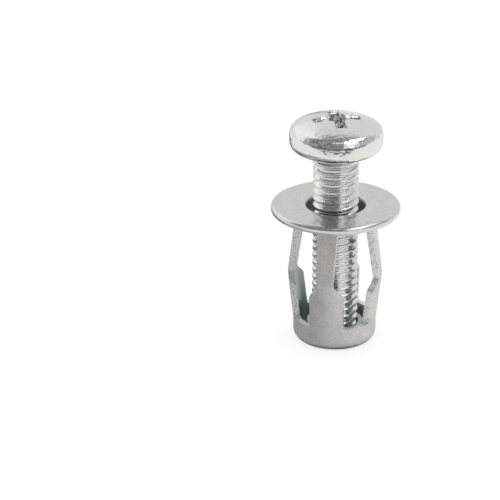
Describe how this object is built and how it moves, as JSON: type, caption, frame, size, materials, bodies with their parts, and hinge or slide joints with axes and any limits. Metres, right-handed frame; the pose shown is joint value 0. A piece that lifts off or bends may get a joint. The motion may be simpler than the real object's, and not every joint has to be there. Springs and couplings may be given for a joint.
{
  "type": "jack nut",
  "caption": "Sheet-steel jack nut: round flange, kinked legs that fold out behind a thin panel and a rolled threaded foot, with its pan-head cross-recess screw.",
  "frame": {"origin": "centre of the rolled foot, in the plane that the part stands on", "axes": "+Z along the screw from the foot to the head; a window between the legs faces along each of X and Y"},
  "size_m": [0.0166, 0.0166, 0.0304],
  "materials": {
    "sleeve_zinc": "bright zinc plate on steel sheet, slightly satin",
    "screw_zinc": "bright zinc plate, polished"
  },
  "bodies": {
    "nut": {"jack_nut": "sleeve_zinc"},
    "screw": {"screw": "screw_zinc"}
  },
  "joints": [
    {"name": "screw_travel", "type": "slide", "parent": "nut", "child": "screw", "axis": [0, 0, 1], "range_m": [-0.0075, 0.001]}
  ]
}
